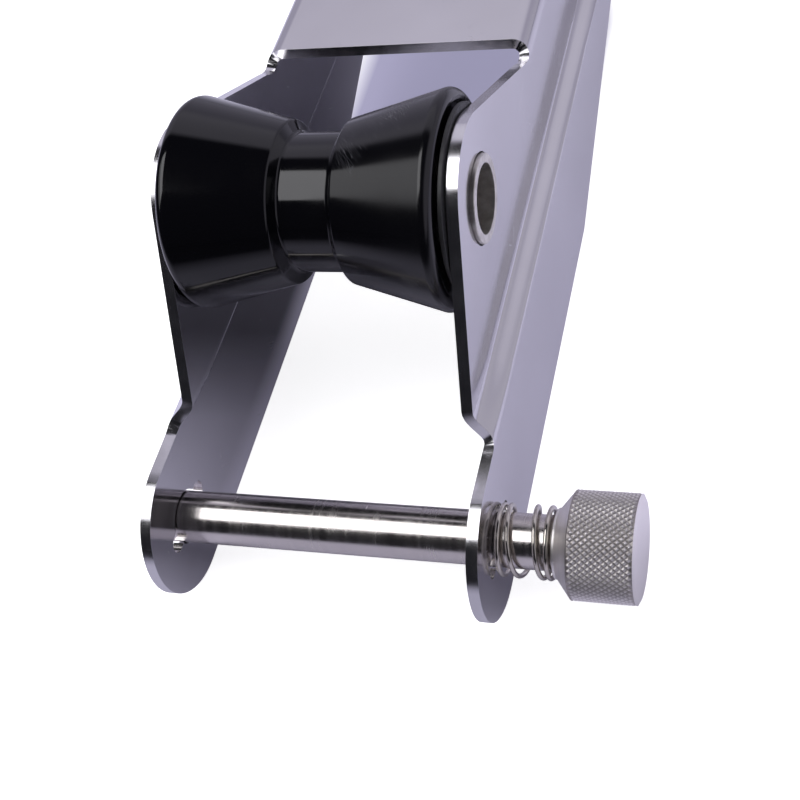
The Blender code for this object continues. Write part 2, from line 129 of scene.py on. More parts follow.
def take(item):
    """Leave only this piece selected and active."""
    bpy.ops.object.select_all(action="DESELECT")
    item.select_set(True)
    bpy.context.view_layer.objects.active = item


def open_up(item):
    take(item)
    bpy.ops.object.mode_set(mode="EDIT")


def close_up():
    bpy.ops.object.mode_set(mode="OBJECT")


def pick(item, kind, wanted):
    """Select the points, edges or faces of the open mesh for which wanted is true."""
    shape = bmesh.from_edit_mesh(item.data)
    bpy.ops.mesh.select_all(action="DESELECT")
    bpy.context.tool_settings.mesh_select_mode = (kind == "verts", kind == "edges", kind == "faces")
    for part in getattr(shape, kind):
        if wanted(part):
            part.select_set(True)
    shape.select_flush_mode()
    bmesh.update_edit_mesh(item.data)


def settle(item):
    """Put the piece's place into its mesh."""
    item.data.transform(item.matrix_world)
    item.matrix_world = Matrix.Identity(4)


def finish_modifiers(item):
    """Apply all modifiers of the piece."""
    take(item)
    for modifier in list(item.modifiers):
        bpy.ops.object.modifier_apply(modifier=modifier.name)


def smooth(item, angle=30):
    """Shade smooth, with edges sharper than this many degrees left sharp."""
    take(item)
    bpy.ops.object.shade_smooth_by_angle(angle=math.radians(angle))


def flat_faces_lead(item):
    """Keep the shading of long faces true beside narrow rounded edges."""
    weighted = item.modifiers.new("flat faces lead", "WEIGHTED_NORMAL")
    weighted.keep_sharp = True
    finish_modifiers(item)


def close_outwards(merge=False):
    """Turn all faces of the open mesh outwards and close it. Merge what touches first if asked."""
    bpy.ops.mesh.select_all(action="SELECT")
    if merge:
        bpy.ops.mesh.remove_doubles(threshold=TOUCHING)
    bpy.ops.mesh.normals_make_consistent(inside=False)
    close_up()


def draw_on(points):
    """Draw the open line on from its selected end, which is the first of the points."""
    for before, after in zip(points, points[1:]):
        step = Vector(after) - Vector(before)
        bpy.ops.mesh.extrude_vertices_move(TRANSFORM_OT_translate={"value": step})


def draw_line(name, points):
    """Chain of edges through the points, drawn from a plane that is merged to its first point."""
    bpy.ops.object.select_all(action="DESELECT")
    bpy.ops.mesh.primitive_plane_add(size=MM, location=(0, 0, 0))
    item = bpy.context.object
    item.name = name
    bpy.context.tool_settings.mesh_select_mode = (True, False, False)
    bpy.ops.object.mode_set(mode="EDIT")
    bpy.ops.mesh.select_all(action="SELECT")
    bpy.ops.mesh.merge(type="CENTER")
    bpy.ops.transform.translate(value=points[0])
    draw_on(points)
    return item


def near(place):
    """Test for a point at this place."""
    return lambda part: (part.co - Vector(place)).length < 2 * TOUCHING


def round_corner(item, before, corner, after, radius, segments):
    """Round one corner of the open line with an arc of this radius."""
    one = (Vector(before) - Vector(corner)).normalized()
    two = (Vector(after) - Vector(corner)).normalized()
    reach = radius / math.tan(one.angle(two) / 2)
    pick(item, "verts", near(corner))
    bpy.ops.mesh.bevel(offset=reach, offset_type="OFFSET", segments=segments, affect="VERTICES")


def turn(name, corners, centre, along=(1, 0, 0), out=(0, 0, 1), steps=128, ring=True):
    """Turned piece. A corner is its place along the axis, its radius and its rounding, in mm.

    A ring's outline is closed. A solid bar's outline starts and ends on the axis.
    """
    along, out, centre = Vector(along), Vector(out), Vector(centre)
    points = [centre + along * (place * MM) + out * (radius * MM) for place, radius, _ in corners]
    item = draw_line(name, points)
    if ring:
        pick(item, "verts", lambda v: near(points[0])(v) or near(points[-1])(v))
        bpy.ops.mesh.edge_face_add()
    count = len(points)
    for index, (_, _, rounding) in enumerate(corners):
        if rounding:
            segments = max(3, min(10, int(rounding * 5)))
            round_corner(item, points[index - 1], points[index], points[(index + 1) % count],
                         rounding * MM, segments)
    bpy.ops.mesh.select_all(action="SELECT")
    bpy.ops.mesh.spin(steps=steps, angle=math.tau, center=centre, axis=along)
    close_outwards(merge=True)
    settle(item)
    smooth(item)
    flat_faces_lead(item)
    return item


def cut_with(item, cutter):
    """Cut the cutter's shape out of the piece, and remove the cutter."""
    boolean = item.modifiers.new("cut", "BOOLEAN")
    boolean.operation = "DIFFERENCE"
    boolean.solver = "EXACT"
    boolean.object = cutter
    finish_modifiers(item)
    bpy.data.objects.remove(cutter, do_unlink=True)


def drill(name, radius, place, depth, vertices=96):
    """Upright cylinder to cut a hole with."""
    bpy.ops.object.select_all(action="DESELECT")
    bpy.ops.mesh.primitive_cylinder_add(vertices=vertices, radius=radius, depth=depth, location=place)
    bpy.context.object.name = name
    return bpy.context.object


# Finishes

class Finish:
    """A Principled surface, and the few nodes that its pattern is made of."""

    def __init__(self, name, colour, roughness, metallic):
        self.material = bpy.data.materials.new(name)
        self.material.use_nodes = True
        self.tree = self.material.node_tree
        self.shader = self.tree.nodes["Principled BSDF"]
        self.shader.inputs["Base Color"].default_value = (*colour, 1)
        self.shader.inputs["Roughness"].default_value = roughness
        self.shader.inputs["Metallic"].default_value = metallic

    def add(self, kind, **settings):
        node = self.tree.nodes.new(kind)
        for key, value in settings.items():
            setattr(node, key, value)
        return node

    def link(self, source, target):
        self.tree.links.new(source, target)

    def places(self, scale=(1, 1, 1), uv=None, centre=None):
        """Object coordinates, or those of a UV map, from a centre and scaled for a pattern."""
        if uv:
            source = self.add("ShaderNodeUVMap", uv_map=uv).outputs["UV"]
        else:
            source = self.add("ShaderNodeTexCoord").outputs["Object"]
        if centre:
            shift = self.add("ShaderNodeMapping")
            shift.inputs["Location"].default_value = [-c for c in centre]
            self.link(source, shift.inputs["Vector"])
            source = shift.outputs["Vector"]
        mapping = self.add("ShaderNodeMapping")
        mapping.inputs["Scale"].default_value = scale
        self.link(source, mapping.inputs["Vector"])
        return mapping.outputs["Vector"]

    def split(self, vector):
        """The three coordinates of a vector."""
        node = self.add("ShaderNodeSeparateXYZ")
        self.link(vector, node.inputs[0])
        return node.outputs

    def noise(self, vector, detail, rough=0.5):
        node = self.add("ShaderNodeTexNoise")
        node.inputs["Scale"].default_value = 1.0
        node.inputs["Detail"].default_value = detail
        node.inputs["Roughness"].default_value = rough
        self.link(vector, node.inputs["Vector"])
        return node.outputs["Fac"]

    def spread(self, value, low, high, start=0.3, end=0.7):
        """Change from low to high as the value goes from start to end."""
        node = self.add("ShaderNodeMapRange")
        for key, number in (("From Min", start), ("From Max", end), ("To Min", low), ("To Max", high)):
            node.inputs[key].default_value = number
        self.link(value, node.inputs["Value"])
        return node.outputs["Result"]

    def maths(self, operation, *values):
        node = self.add("ShaderNodeMath", operation=operation)
        for socket, value in zip(node.inputs, values):
            if isinstance(value, (int, float)):
                socket.default_value = value
            else:
                self.link(value, socket)
        return node.outputs["Value"]

    def tones(self, value, *stops):
        """Colour ramp through (place, colour) stops."""
        ramp = self.add("ShaderNodeValToRGB")
        while len(ramp.color_ramp.elements) < len(stops):
            ramp.color_ramp.elements.new(0.5)
        for element, (place, colour) in zip(ramp.color_ramp.elements, stops):
            element.position = place
            element.color = (*colour, 1)
        self.link(value, ramp.inputs["Fac"])
        return ramp.outputs["Color"]

    def colour(self, value):
        self.link(value, self.shader.inputs["Base Color"])

    def rough(self, value):
        self.link(value, self.shader.inputs["Roughness"])

    def bump(self, *layers):
        """Bump layers of (height, distance in millimetres, strength), the first one the coarsest."""
        normal = None
        for height, distance, strength in layers:
            node = self.add("ShaderNodeBump")
            node.inputs["Distance"].default_value = distance * MM
            node.inputs["Strength"].default_value = strength
            self.link(height, node.inputs["Height"])
            if normal:
                self.link(normal, node.inputs["Normal"])
            normal = node.outputs["Normal"]
        self.link(normal, self.shader.inputs["Normal"])


SCRATCH_STRETCH = (60, 1400, 60)


def scratches(finish, vector, turn_by, keep=0.012):
    """Thin lines: a noise stretched one way, of which only what is near its middle value is kept."""
    turned = finish.add("ShaderNodeMapping")
    turned.inputs["Rotation"].default_value = (0, 0, turn_by)
    finish.link(vector, turned.inputs["Vector"])
    stretched = finish.add("ShaderNodeMapping")
    stretched.inputs["Scale"].default_value = SCRATCH_STRETCH
    finish.link(turned.outputs["Vector"], stretched.inputs["Vector"])
    lines = finish.noise(stretched.outputs["Vector"], detail=0)
    off_middle = finish.maths("ABSOLUTE", finish.maths("SUBTRACT", lines, 0.5))
    return finish.spread(off_middle, 1.0, 0.0, 0.0, keep)


def sheet_finish():
    """Satin polish with faint clouds, a fine grain along the sheet and patches of light scratches."""
    finish = Finish("satin_polished_sheet", (0.64, 0.63, 0.65), 0.12, 1.0)
    flat = finish.places(uv="sheet")
    cloud = finish.noise(finish.places((28, 28, 28), uv="sheet"), detail=3)
    grain = finish.noise(finish.places((1500, 90, 1), uv="sheet"), detail=3)
    blots = finish.noise(finish.places((70, 70, 70), uv="sheet"), detail=1)
    patches = finish.spread(blots, 0, 1, 0.52, 0.62)
    marks = finish.maths("MULTIPLY", scratches(finish, flat, 0.9), patches)
    fine = finish.maths("MULTIPLY", scratches(finish, flat, 2.4, 0.008), patches)
    worn = finish.maths("MAXIMUM", marks, fine)
    roughness = finish.spread(cloud, 0.09, 0.15)
    finish.rough(finish.maths("ADD", roughness, finish.maths("MULTIPLY", worn, 0.16)))
    finish.colour(finish.tones(cloud, (0.3, (0.61, 0.60, 0.62)), (0.7, (0.67, 0.66, 0.68))))
    finish.bump((cloud, 0.05, 0.05), (grain, 0.004, 0.35))
    return finish.material


def cut_edge_finish():
    """Rounded edges of the sheet, a little brighter and duller than its faces."""
    finish = Finish("polished_cut_edge", (0.72, 0.71, 0.73), 0.16, 1.0)
    wave = finish.noise(finish.places((260, 260, 260)), detail=2)
    finish.rough(finish.spread(wave, 0.13, 0.21))
    finish.bump((wave, 0.06, 0.12),)
    return finish.material


def turned_finish(name, colour, roughness, line_scale, depth, axis=(1, 0, 0)):
    """Turned steel: fine lines round the axis, and a slow change of gloss."""
    finish = Finish(name, colour, roughness, 1.0)
    scale = [line_scale if part else 12.0 for part in axis]
    lines = finish.noise(finish.places(scale), detail=4, rough=0.6)
    cloud = finish.noise(finish.places((150, 150, 150)), detail=2)
    finish.rough(finish.maths("ADD", finish.spread(cloud, -0.04, 0.05),
                              finish.spread(lines, roughness - 0.04, roughness + 0.06)))
    darker = [c * 0.9 for c in colour]
    finish.colour(finish.tones(lines, (0.25, darker), (0.7, colour)))
    finish.bump((lines, depth, 0.4),)
    return finish.material


def bore_finish():
    """Drawn tube: streaks along it, and stains."""
    finish = Finish("drawn_tube_steel", (0.56, 0.55, 0.49), 0.24, 1.0)
    streaks = finish.noise(finish.places((30, 700, 700)), detail=4)
    stain = finish.noise(finish.places((320, 320, 320)), detail=5, rough=0.65)
    finish.colour(finish.tones(stain, (0.35, (0.56, 0.54, 0.49)), (0.65, (0.80, 0.78, 0.73))))
    finish.rough(finish.spread(streaks, 0.34, 0.48))
    finish.bump((stain, 0.03, 0.25), (streaks, 0.01, 0.3))
    return finish.material


def spring_finish():
    finish = Finish("drawn_spring_wire", (0.66, 0.62, 0.56), 0.22, 1.0)
    stain = finish.noise(finish.places((900, 900, 900)), detail=3)
    finish.colour(finish.tones(stain, (0.3, (0.56, 0.53, 0.47)), (0.7, (0.66, 0.62, 0.56))))
    finish.rough(finish.spread(stain, 0.12, 0.20))
    finish.bump((stain, 0.004, 0.15),)
    return finish.material


def roller_finish():
    """Glossy black, chafed towards the rim on the knob's side and scratched on that cone."""
    finish = Finish("glossy_black_roller", (0.002, 0.002, 0.003), 0.10, 0.0)
    finish.shader.inputs["IOR"].default_value = 1.5
    round_map = finish.places(uv="skin")
    wave = finish.noise(finish.places((70, 70, 70)), detail=1)
    cloud = finish.noise(finish.places((45, 45, 45), uv="skin"), detail=3)
    smears = finish.noise(finish.places((55, 30, 1), uv="skin"), detail=2)
    rubbed = finish.spread(smears, 0, 1, 0.5, 0.64)
    first = scratches(finish, round_map, -0.87, 0.03)
    second = scratches(finish, round_map, -1.15, 0.02)
    along = finish.split(round_map)[0]
    chafed = finish.spread(along, 0.0, 0.09, 8.0 * MM, 20.0 * MM)
    on_cone = finish.spread(along, 0.0, 1.0, 6.5 * MM, 7.5 * MM)
    marks = finish.maths("MULTIPLY", finish.maths("MAXIMUM", first, second),
                         finish.maths("MULTIPLY", rubbed, on_cone))
    base = finish.maths("ADD", finish.maths("ADD", finish.spread(cloud, 0.06, 0.13), chafed),
                        finish.maths("MULTIPLY", rubbed, 0.07))
    finish.rough(finish.maths("ADD", base, finish.maths("MULTIPLY", marks, 0.25)))
    finish.colour(finish.tones(marks, (0.0, (0.002, 0.002, 0.003)), (1.0, (0.07, 0.07, 0.08))))
    finish.bump((wave, 0.25, 0.10), (marks, 0.01, 0.5))
    return finish.material


def washer_finish():
    finish = Finish("black_nylon_washer", (0.018, 0.018, 0.02), 0.42, 0.0)
    grain = finish.noise(finish.places((1200, 1200, 1200)), detail=2)
    finish.rough(finish.spread(grain, 0.36, 0.5))
    finish.bump((grain, 0.01, 0.3),)
    return finish.material


# Where the floor's painted light and shade change, as (start, end). Along Y:
PAINTED_DARK_FRONT = (-0.36, -0.25)     # out of the painted dark in front of the table
PAINTED_SHADOW_LIFT = (-0.19, -0.165)  # out of a painted shadow before the ears, to the table's full light
SHADE_FRONT = (-0.19, -0.16)    # painted shade between the cheeks: a little at the ears,
SHADE_DEEP = (-0.142, -0.112)   # most from the roller on,
SHADE_END = (-0.09, -0.01)      # and less again under the web
SHADED_PATCH_FRONT = (-0.075, -0.055)  # patch of painted shade that the camera sees through the slot
SHADED_PATCH_BACK = (0.018, 0.032)
# Along X:
SHADED_PATCH_LEFT = (-0.052, -0.040)
INNER_CHEEK = (0.031, 0.035)

TABLE_COLOUR = (0.84, 0.82, 1.0)
PAPER_COLOUR = (0.94, 0.94, 0.95)
PAPER_GLOW = (0.75, 0.75, 0.75)
# The patch: the table's lavender in painted shade, darker than the paper
SHADED_PATCH_COLOUR = (0.16, 0.15, 0.20)
SHADED_PATCH_GLOW = (0.30, 0.29, 0.42)


def floor_finish():
    """Lavender table to polished steel, painted dark in front and painted in shade between the cheeks;
    white paper to the camera.

    The camera sees a lavender patch of painted shade where the photograph shows the table through the
    channel's slot.
    """
    finish = Finish("pale_floor", (0.90, 0.88, 1.0), 0.9, 0.0)
    finish.shader.inputs["Specular IOR Level"].default_value = 0.0
    x, y, _ = finish.split(finish.places())

    def times(one, two):
        return finish.maths("MULTIPLY", one, two)

    def plus(one, two):
        return finish.maths("ADD", one, two)

    # Painted light: the table's colour rises out of a painted dark in front and a painted shadow before
    # the ears
    light = finish.spread(y, 0.02, 0.62, *PAINTED_DARK_FRONT)
    light = plus(light, finish.spread(y, 0.0, 0.38, *PAINTED_SHADOW_LIFT))
    # Painted shade between the cheeks: a little at the ears, most from the roller on, less under the
    # web
    between_cheeks = finish.spread(finish.maths("ABSOLUTE", x), 1.0, 0.0, *INNER_CHEEK)
    shade = finish.spread(y, 0.10, 0.27, *SHADE_FRONT)
    shade = plus(shade, finish.spread(y, 0.0, 0.53, *SHADE_DEEP))
    shade = plus(shade, finish.spread(y, 0.0, -0.42, *SHADE_END))
    # The table's colour, with its painted light and shade
    table_light_and_shade = times(light, finish.maths("SUBTRACT", 1.0, times(shade, between_cheeks)))
    finish.colour(finish.tones(table_light_and_shade, (0.0, (0.0, 0.0, 0.0)), (1.0, TABLE_COLOUR)))

    # Patch of painted shade: where the camera sees the table under the web, its colour and glow are a
    # darker lavender
    shaded_patch = finish.spread(y, 0.0, 1.0, *SHADED_PATCH_FRONT)
    shaded_patch = times(shaded_patch, finish.spread(y, 1.0, 0.0, *SHADED_PATCH_BACK))
    shaded_patch = times(shaded_patch, finish.spread(x, 0.0, 1.0, *SHADED_PATCH_LEFT))
    shaded_patch = times(shaded_patch, finish.spread(x, 1.0, 0.0, *INNER_CHEEK))
    seen = finish.add("ShaderNodeAddShader")
    layers = (("ShaderNodeBsdfDiffuse", PAPER_COLOUR, SHADED_PATCH_COLOUR),
              ("ShaderNodeEmission", PAPER_GLOW, SHADED_PATCH_GLOW))
    for socket, (kind, plain, shaded_tint) in zip(seen.inputs, layers):
        layer = finish.add(kind)
        finish.link(finish.tones(shaded_patch, (0.0, plain), (1.0, shaded_tint)), layer.inputs["Color"])
        finish.link(layer.outputs[0], socket)
    blend = finish.add("ShaderNodeMixShader")
    finish.link(finish.add("ShaderNodeLightPath").outputs["Is Camera Ray"], blend.inputs["Fac"])
    finish.link(finish.shader.outputs[0], blend.inputs[1])
    finish.link(seen.outputs[0], blend.inputs[2])
    finish.link(blend.outputs[0], finish.tree.nodes["Material Output"].inputs["Surface"])
    return finish.material


# Camera, light and floor

CAMERA_LENS = 60.2              # mm
CAMERA_SENSOR = 36              # mm
CAMERA_PLACE = (0.1075, -0.3309, 0.1910)
CAMERA_RIGHT = Vector((0.94828, 0.22421, -0.22471))
CAMERA_DOWN = Vector((0.03920, -0.78519, -0.61801))
CAMERA_AHEAD = Vector((-0.31500, 0.57724, -0.75337))

LAMP_DISTANCE = 0.9             # from the axle
LAMP_ACROSS = (-0.78, 0.0, -0.625)      # the way a lamp's width runs
LAMP_COLOUR = (0.97, 0.965, 1.0)
WINDOW_DIRECTION = (-0.46, -0.295, 0.838)
FILL_DIRECTION = (0.40, -0.10, 0.91)

ROOM_DARK = (0.013, 0.013, 0.016)
WALL_FOOT = (0.44, 0.42, 0.53)
WALL_TOP = (0.68, 0.655, 0.77)
SIDE_WALL = (0.55, 0.53, 0.62)
BELOW_HORIZON = (0.55, 0.54, 0.62)
SOFT_LIGHT = (0.36, 0.355, 0.375)       # for all that isn't a mirror
WHITE = (1.0, 1.0, 1.0)

FLOOR_SIZE = 8


def make_camera():
    """The photograph's camera."""
    data = bpy.data.cameras.new("camera")
    data.lens = CAMERA_LENS
    data.sensor_width = CAMERA_SENSOR
    data.clip_start = 0.01
    camera = bpy.data.objects.new("camera", data)
    bpy.context.scene.collection.objects.link(camera)
    turned = Matrix((CAMERA_RIGHT, -CAMERA_DOWN, -CAMERA_AHEAD)).transposed().to_4x4()
    camera.matrix_world = Matrix.Translation(CAMERA_PLACE) @ turned
    bpy.context.scene.camera = camera


def make_lamp(name, towards, shift, wide, tall, strength):
    """Soft rectangular lamp that faces the axle, then moved sideways along its own width."""
    data = bpy.data.lights.new(name, "AREA")
    data.shape = "RECTANGLE"
    data.size = wide
    data.size_y = tall
    data.energy = strength
    data.color = LAMP_COLOUR
    lamp = bpy.data.objects.new(name, data)
    bpy.context.scene.collection.objects.link(lamp)
    back = Vector(towards).normalized()
    across = Vector(LAMP_ACROSS)
    across = (across - back * across.dot(back)).normalized()
    place = Vector((0, AXLE_Y, 0)) + back * LAMP_DISTANCE + across * shift
    turned = Matrix((across, back.cross(across), back)).transposed().to_4x4()
    lamp.matrix_world = Matrix.Translation(place) @ turned
    lamp.visible_camera = False
    return lamp


def make_lamps():
    """A bright window over the front left with a dimmer end, and a fill that shows in no mirror."""
    make_lamp("softbox", WINDOW_DIRECTION, shift=-0.12, wide=0.50, tall=0.72, strength=3.4)
    make_lamp("softbox_end", WINDOW_DIRECTION, shift=0.2925, wide=0.325, tall=0.72, strength=1.05)
    fill = make_lamp("fill", FILL_DIRECTION, shift=0.0, wide=0.7, tall=0.7, strength=3.0)
    fill.visible_glossy = False


def make_room():
    """White to the camera; to polished steel a pale back wall, a dark front and a pale floor's edge."""
    world = bpy.data.worlds.new("studio")
    bpy.context.scene.world = world
    world.use_nodes = True
    tree = world.node_tree
    tree.nodes.clear()

    def add(kind, **settings):
        node = tree.nodes.new(kind)
        for key, value in settings.items():
            setattr(node, key, value)
        return node

    def ramp(value, start, end):
        node = add("ShaderNodeMapRange", interpolation_type="SMOOTHSTEP")
        node.inputs["From Min"].default_value = start
        node.inputs["From Max"].default_value = end
        tree.links.new(value, node.inputs["Value"])
        return node.outputs["Result"]

    def mix(factor, one, two):
        node = add("ShaderNodeMix", data_type="RGBA")
        for key, value in (("Factor", factor), ("A", one), ("B", two)):
            if isinstance(value, tuple):
                node.inputs[key].default_value = (*value, 1)
            else:
                tree.links.new(value, node.inputs[key])
        return node.outputs["Result"]

    direction = add("ShaderNodeSeparateXYZ")
    tree.links.new(add("ShaderNodeTexCoord").outputs["Generated"], direction.inputs[0])
    side, back, up = direction.outputs
    wall = mix(ramp(up, 0.40, 0.58), WALL_FOOT, WALL_TOP)
    room = mix(ramp(back, 0.40, 0.52), ROOM_DARK, wall)
    room = mix(ramp(side, 0.45, 0.75), room, SIDE_WALL)
    room = mix(ramp(up, -0.05, -0.16), room, BELOW_HORIZON)
    light = add("ShaderNodeLightPath")
    seen = mix(light.outputs["Is Glossy Ray"], SOFT_LIGHT, room)
    seen = mix(light.outputs["Is Camera Ray"], seen, WHITE)
    background = add("ShaderNodeBackground")
    tree.links.new(seen, background.inputs["Color"])
    tree.links.new(background.outputs[0], add("ShaderNodeOutputWorld").inputs["Surface"])


def make_floor():
    bpy.ops.object.select_all(action="DESELECT")
    bpy.ops.mesh.primitive_plane_add(size=FLOOR_SIZE, location=(0, 0, -CHANNEL_DEPTH))
    floor = bpy.context.object
    floor.name = "floor"
    settle(floor)
    floor.data.materials.append(floor_finish())


# Channel

def outline_corners():
    """Corners of half the blank from the web's front to its rear, as (across, y, rounding in mm)."""
    corner_y, corner_z = NOSE_CORNER
    front = -WEB_HALF_LENGTH
    slot_z = corner_z - math.tan(NOSE_RISE) * (front - corner_y)
    ear_top_z = EAR_Z + EAR_RADIUS
    kink_y = AXLE_Y + TAPER_START
    rear_z = (WEB_HALF_LENGTH - kink_y) * math.tan(TAPER_ANGLE) - CHANNEL_DEPTH
    return [(0.0, front, 0),
            (blank_place(slot_z), front, SLOT_ROUND),
            (blank_place(corner_z), corner_y, NOSE_ROUND),
            (blank_place(ear_top_z), NOTCH_Y, NOTCH_ROUND),
            (blank_place(ear_top_z), EAR_Y, 0),
            (blank_place(EAR_Z - EAR_RADIUS), EAR_Y, 0),
            (blank_place(-CHANNEL_DEPTH), kink_y, 0),
            (blank_place(rear_z), WEB_HALF_LENGTH, REAR_ROUND),
            (0.0, WEB_HALF_LENGTH, 0)]


def make_blank():
    """Flat sheet with its holes and rounded edges, its outer side at the deck face's height."""
    corners = outline_corners()
    points = [(across, y, 0.0) for across, y, _ in corners]
    ear_end = 5                 # the corner where the ear's half circle ends
    blank = draw_line("channel_sheet", points[:ear_end])
    bpy.ops.mesh.spin(steps=EAR_STEPS, angle=math.pi, center=(blank_place(EAR_Z), EAR_Y, 0),
                      axis=(0, 0, -1))
    pick(blank, "verts", near(points[ear_end]))
    draw_on(points[ear_end:])
    for index, (_, _, rounding) in enumerate(corners):
        if rounding:
            round_corner(blank, points[index - 1], points[index], points[index + 1],
                         rounding * MM, ROUND_STEPS)
    pick(blank, "verts", lambda v: abs(v.co.x) < 0.01 * MM)
    bpy.ops.mesh.edge_face_add()
    bpy.ops.mesh.select_all(action="SELECT")
    bpy.ops.mesh.edge_face_add()
    close_up()
    mirror = blank.modifiers.new("other half", "MIRROR")
    mirror.merge_threshold = TOUCHING
    finish_modifiers(blank)
    open_up(blank)
    bpy.ops.mesh.select_all(action="SELECT")
    bpy.ops.mesh.dissolve_limited(angle_limit=math.radians(0.1))
    bpy.ops.mesh.select_all(action="SELECT")
    bpy.ops.mesh.extrude_region_move(TRANSFORM_OT_translate={"value": (0, 0, -SHEET)})
    close_outwards()
    cut_holes(blank)
    rounded = blank.modifiers.new("edges", "BEVEL")
    rounded.width = EDGE_ROUND
    rounded.segments = EDGE_STEPS
    rounded.limit_method = "ANGLE"
    rounded.angle_limit = math.radians(60)
    finish_modifiers(blank)
    return blank


def cut_holes(blank):
    """Axle holes, pin holes with their key slots, and deck bolt holes."""
    middle, through = -SHEET / 2, 3 * SHEET
    for side in (-1, 1):
        axle = (side * blank_place(AXLE_Z), AXLE_Y, middle)
        cut_with(blank, drill("axle_hole", AXLE_HOLE_RADIUS, axle, through))
        pin = (side * blank_place(EAR_Z), EAR_Y, middle)
        cut_with(blank, drill("pin_hole", PIN_HOLE_RADIUS, pin, through))
        cut_with(blank, key_slots(pin))
        for y in (-BOLT_Y, BOLT_Y):
            bolt = (side * BOLT_X, y, middle)
            cut_with(blank, drill("bolt_hole", BOLT_HOLE_RADIUS, bolt, through, 64))


def key_slots(place):
    """Cutter for the two slots that let the cross pin through."""
    bpy.ops.object.select_all(action="DESELECT")
    bpy.ops.mesh.primitive_cube_add(size=1, location=place,
                                    scale=(KEY_SLOT_WIDTH, KEY_SLOT_LENGTH, 3 * SHEET))
    cutter = bpy.context.object
    settle(cutter)
    open_up(cutter)
    pick(cutter, "edges", lambda e: abs(e.verts[0].co.z - e.verts[1].co.z) > SHEET)
    bpy.ops.mesh.bevel(offset=KEY_SLOT_ROUND, segments=10, affect="EDGES")
    close_up()
    return cutter


def joggle_height(y, share):
    """Height of the joggle's fold line, 0 for the upper and 1 for the lower one."""
    head = JOGGLE_HEAD_Z - math.tan(JOGGLE_NARROWING) * (y - EAR_Y)
    flare = min(max((FLARE_Y - y) / FLARE_LENGTH, 0.0), 1.0)
    head += FLARE * flare * flare
    return head * (1 - share) + JOGGLE_FOOT_Z * share


def folded_skin(across, y):
    """Where the fold puts a point of the blank's outer side, on the right-hand half."""
    along = FOLD_AT - across
    x, z = HALF_WIDTH, along - BEND_RADIUS
    if along > 0 and y > BEND_FRONT:
        angle = min(along / BEND_ARC, 1.0) * math.pi / 2
        share = min((y - BEND_FRONT) / BEND_RUNOUT, 1.0)
        bent_x = HALF_WIDTH - BEND_RADIUS * (1 - math.cos(angle)) - max(along - BEND_ARC, 0.0)
        bent_z = -BEND_RADIUS + BEND_RADIUS * math.sin(angle)
        x += (bent_x - x) * share
        z += (bent_z - z) * share
    head, foot = joggle_height(y, 0), joggle_height(y, 1)
    step = min(max((head - (along - BEND_RADIUS)) / (head - foot), 0.0), 1.0)
    x += JOGGLE * step * step * (3 - 2 * step)
    return Vector((x, y, z))


def folded(co):
    """Where the fold puts a point of the blank, as deep below the outer side as it was."""
    side = -1 if co.x < 0 else 1
    across = abs(co.x)
    small = 0.02 * MM
    skin = folded_skin(across, co.y)
    over = folded_skin(across + small, co.y) - folded_skin(max(across - small, 0.0), co.y)
    ahead = folded_skin(across, co.y + small) - folded_skin(across, co.y - small)
    outward = over.cross(ahead).normalized()
    place = skin + outward * co.z
    return Vector((side * place.x, place.y, place.z))


def score(item, place, direction):
    """Cut the open mesh along a line of the blank, so that the fold has points there."""
    bpy.ops.mesh.select_all(action="SELECT")
    bpy.ops.mesh.bisect(plane_co=place, plane_no=(direction[1], -direction[0], 0), threshold=TOUCHING)


def score_across(item, start, end, steps, ends=False):
    """Score the blank across at even steps of y, with the start and the end of them or without."""
    for step in range(steps + 1) if ends else range(1, steps):
        score(item, (0, start + (end - start) * step / steps, 0), (1, 0))


def make_channel():
    """The blank scored where it bends, given its two finishes, and folded."""
    blank = make_blank()
    open_up(blank)
    for side in (-1, 1):
        for step in range(BEND_STEPS + 1):
            score(blank, (side * (FOLD_AT - BEND_ARC * step / BEND_STEPS), 0, 0), (0, 1))
        slope = math.tan(JOGGLE_NARROWING)
        for step in range(-STEPS_ABOVE_JOGGLE, JOGGLE_STEPS + 1):
            place = blank_place(joggle_height(FLARE_Y, 0) - JOGGLE_RUN * step / JOGGLE_STEPS)
            score(blank, (side * place, FLARE_Y, 0), (side * slope, 1))
    score_across(blank, -WEB_HALF_LENGTH, BEND_FRONT, RUNOUT_STEPS, ends=True)
    score_across(blank, FLARE_Y, FLARE_Y - FLARE_LENGTH, FLARE_STEPS, ends=True)
    score_across(blank, FLARE_Y, BEND_FRONT, CHEEK_STEPS)
    score_across(blank, -WEB_HALF_LENGTH, WEB_HALF_LENGTH, WEB_STEPS)
    close_up()
    mesh = blank.data
    sheet_map = mesh.uv_layers.new(name="sheet")
    for loop in mesh.loops:
        co = mesh.vertices[loop.vertex_index].co
        sheet_map.data[loop.index].uv = (co.x, co.y)
    mesh.materials.append(sheet_finish())
    mesh.materials.append(cut_edge_finish())
    for face in mesh.polygons:
        face.material_index = 0 if abs(face.normal.z) > 0.985 else 1
    for vert in mesh.vertices:
        vert.co = folded(vert.co)
    open_up(blank)
    close_outwards()
    smooth(blank, 40)
    flat_faces_lead(blank)
    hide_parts("channel")
    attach(blank, "bracket")


# Axle, washers and roller, in millimetres

